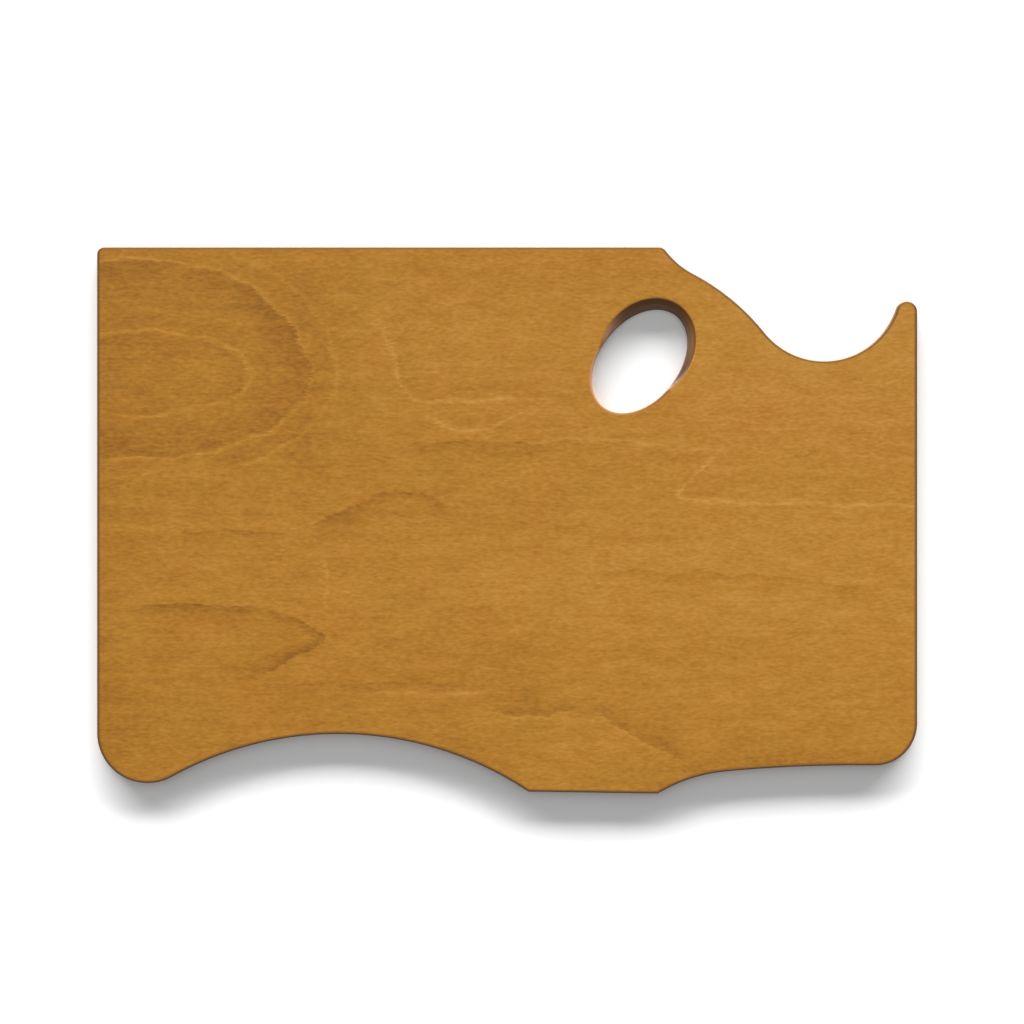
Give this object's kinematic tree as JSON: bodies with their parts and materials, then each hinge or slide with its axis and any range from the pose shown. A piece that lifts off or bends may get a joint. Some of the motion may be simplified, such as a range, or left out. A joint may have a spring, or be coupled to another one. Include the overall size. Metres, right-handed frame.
{
  "type": "mixing palette",
  "caption": "Flat hand-held painter's palette of stained plywood, with a bevelled thumb hole, a forearm notch with a horn, and a hollow edge that rests against the body.",
  "frame": {"origin": "on the back face, under the centre of the palette's outline box", "axes": "+X along the length, towards the end with the forearm notch; +Y towards the straight long edge beside the thumb hole; +Z out of the painting face"},
  "size_m": [0.4572, 0.3048, 0.006],
  "materials": {
    "stained_veneer": "honey stain under a satin varnish",
    "crossband": "sanded end grain, stained and varnished",
    "core": "sanded edge grain, stained and varnished"
  },
  "bodies": {
    "root": {"front_face_veneer": "stained_veneer", "front_crossband": "crossband", "core_ply": "core", "back_crossband": "crossband", "back_face_veneer": "stained_veneer"}
  },
  "joints": []
}
